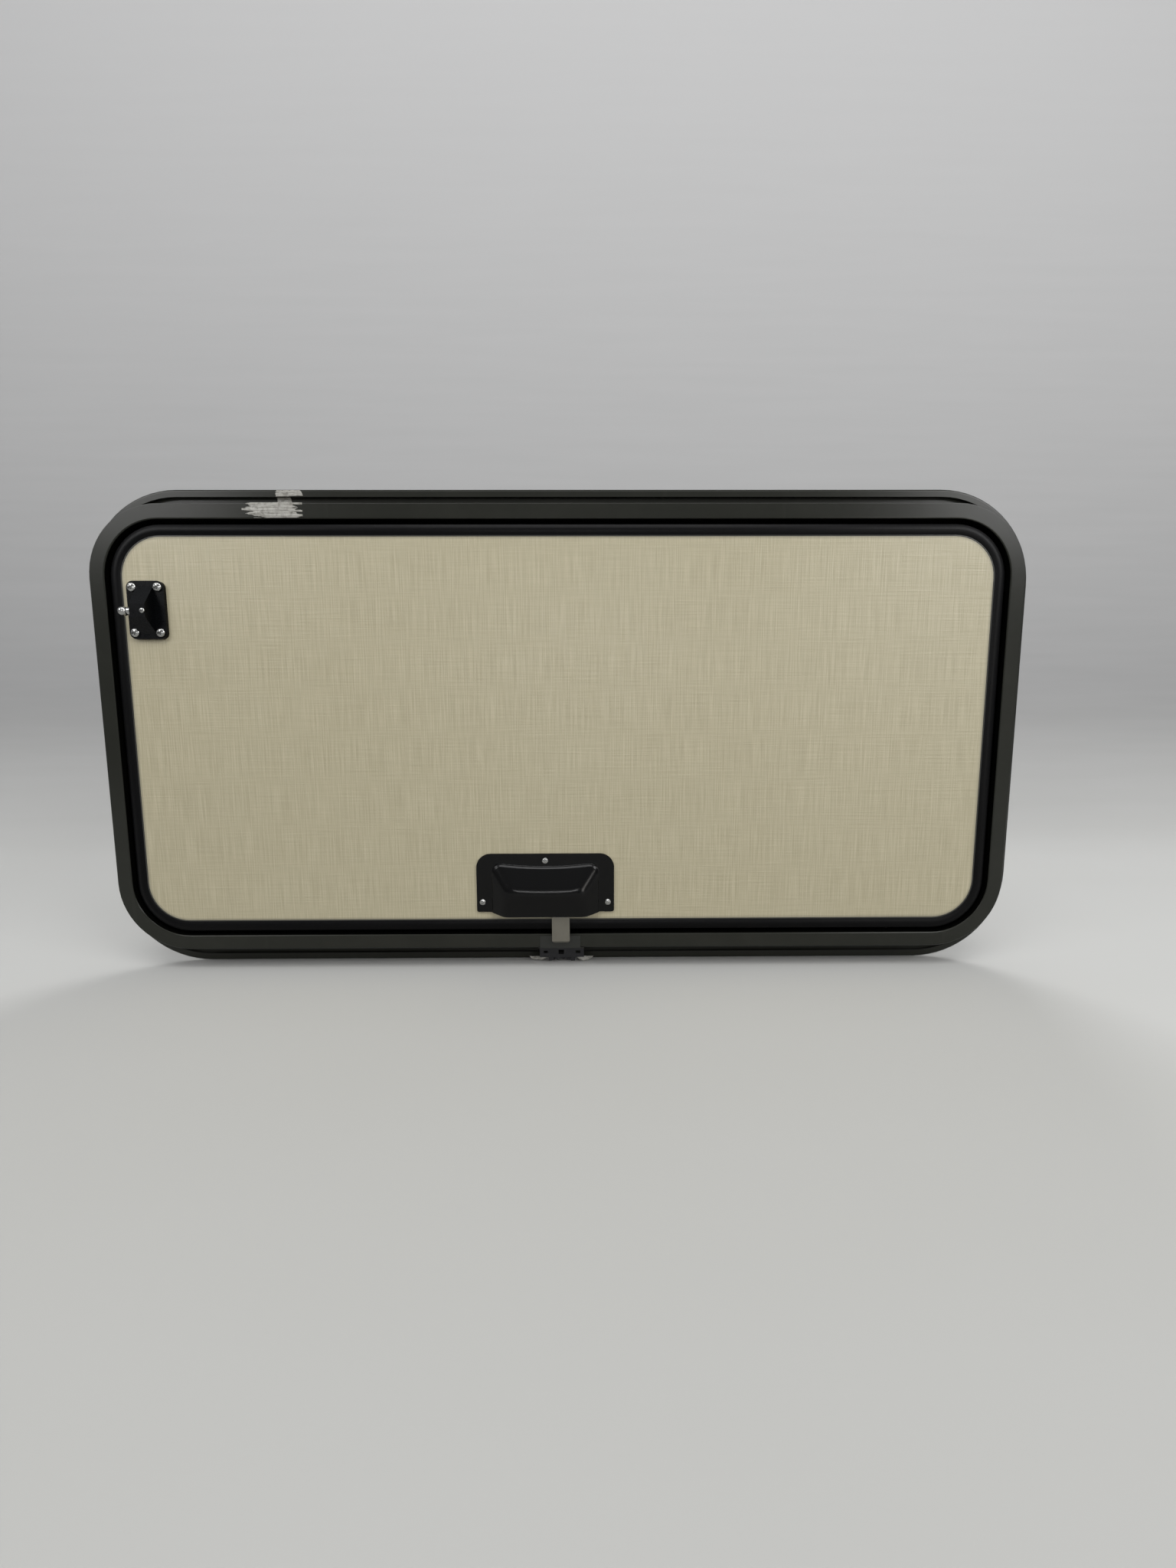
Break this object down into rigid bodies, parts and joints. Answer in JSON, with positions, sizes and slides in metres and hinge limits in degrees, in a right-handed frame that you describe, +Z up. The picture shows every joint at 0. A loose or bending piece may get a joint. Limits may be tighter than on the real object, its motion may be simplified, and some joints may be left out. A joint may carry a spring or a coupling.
{
  "type": "caravan service door",
  "caption": "Wide rounded caravan service door: bent frame with outer flange, top-hinged insulated leaf, paddle slam latch and a ball stud for a gas strut.",
  "frame": {"origin": "middle of the wall cut-out, in the plane where the flange's rim meets the caravan's outer skin", "axes": "+X along the door, +Z up, +Y out of the caravan (the leaf opens towards +Y and the pictured inner side faces -Y)"},
  "size_m": [1.053, 0.0657, 0.539],
  "materials": {
    "dark_coated_aluminium": "satin",
    "mill_aluminium": "satin",
    "black_rubber": "gloss",
    "cured_sealant": "gloss",
    "black_plastic": "matt",
    "glossy_black_plastic": "gloss",
    "foam_core": "matt",
    "white_skin": "gloss",
    "linen_panel": "embossed",
    "zinc_steel": "satin",
    "bright_steel": "polished"
  },
  "bodies": {
    "frame": {"frame_ring": "dark_coated_aluminium", "frame_joint_cleat": "mill_aluminium", "joint_sealant": "cured_sealant", "frame_seal": "black_rubber", "striker_clip": "black_plastic", "frame_hinge_rail": "dark_coated_aluminium", "frame_rail_rivets": "mill_aluminium", "hinge_end_caps": "black_plastic"},
    "leaf": {"leaf_edge_frame": "dark_coated_aluminium", "leaf_rubber_strip": "black_rubber", "leaf_core": "foam_core", "leaf_outer_skin": "white_skin", "leaf_inner_panel": "linen_panel", "leaf_hinge_rail": "dark_coated_aluminium", "leaf_rail_rivets": "mill_aluminium", "lock_dish": "black_plastic", "dish_gasket": "black_rubber", "paddle_pin": "zinc_steel", "lock_cylinder": "zinc_steel", "cylinder_nut": "zinc_steel", "lock_body": "zinc_steel", "lock_body_screws": "bright_steel", "lock_spring": "zinc_steel", "lock_cover": "black_plastic", "cover_screws": "bright_steel", "stud_bracket": "glossy_black_plastic", "bracket_screws": "bright_steel", "ball_stud": "bright_steel", "stud_rivet": "bright_steel"},
    "paddle": {"lock_paddle": "black_plastic"},
    "tongue": {"lock_tongue": "zinc_steel"},
    "key": {"key_plug": "zinc_steel", "key_cam": "zinc_steel", "cam_screw": "bright_steel"}
  },
  "joints": [
    {"name": "leaf_swing", "type": "hinge", "parent": "frame", "child": "leaf", "pos_m": [0, 0.0134, 0.2465], "axis": [1, 0, 0], "range_deg": [0, 95]},
    {"name": "paddle_pull", "type": "hinge", "parent": "leaf", "child": "paddle", "pos_m": [-0.0017, -0.0079, -0.1848], "axis": [-1, 0, 0], "range_deg": [0, 30], "stiffness_Nm_per_rad": 0.12, "springref_deg": -11.46},
    {"name": "tongue_slide", "type": "slide", "parent": "leaf", "child": "tongue", "axis": [0, 0, 1], "range_m": [0, 0.013], "deforming": ["lock_spring"]},
    {"name": "key_turn", "type": "hinge", "parent": "leaf", "child": "key", "pos_m": [-0.062, 0, -0.174], "axis": [0, -1, 0], "range_deg": [0, 90]}
  ],
  "couplings": [
    {"joint": "tongue_slide", "follows": "paddle_pull", "m_per_rad": 0.024828}
  ]
}
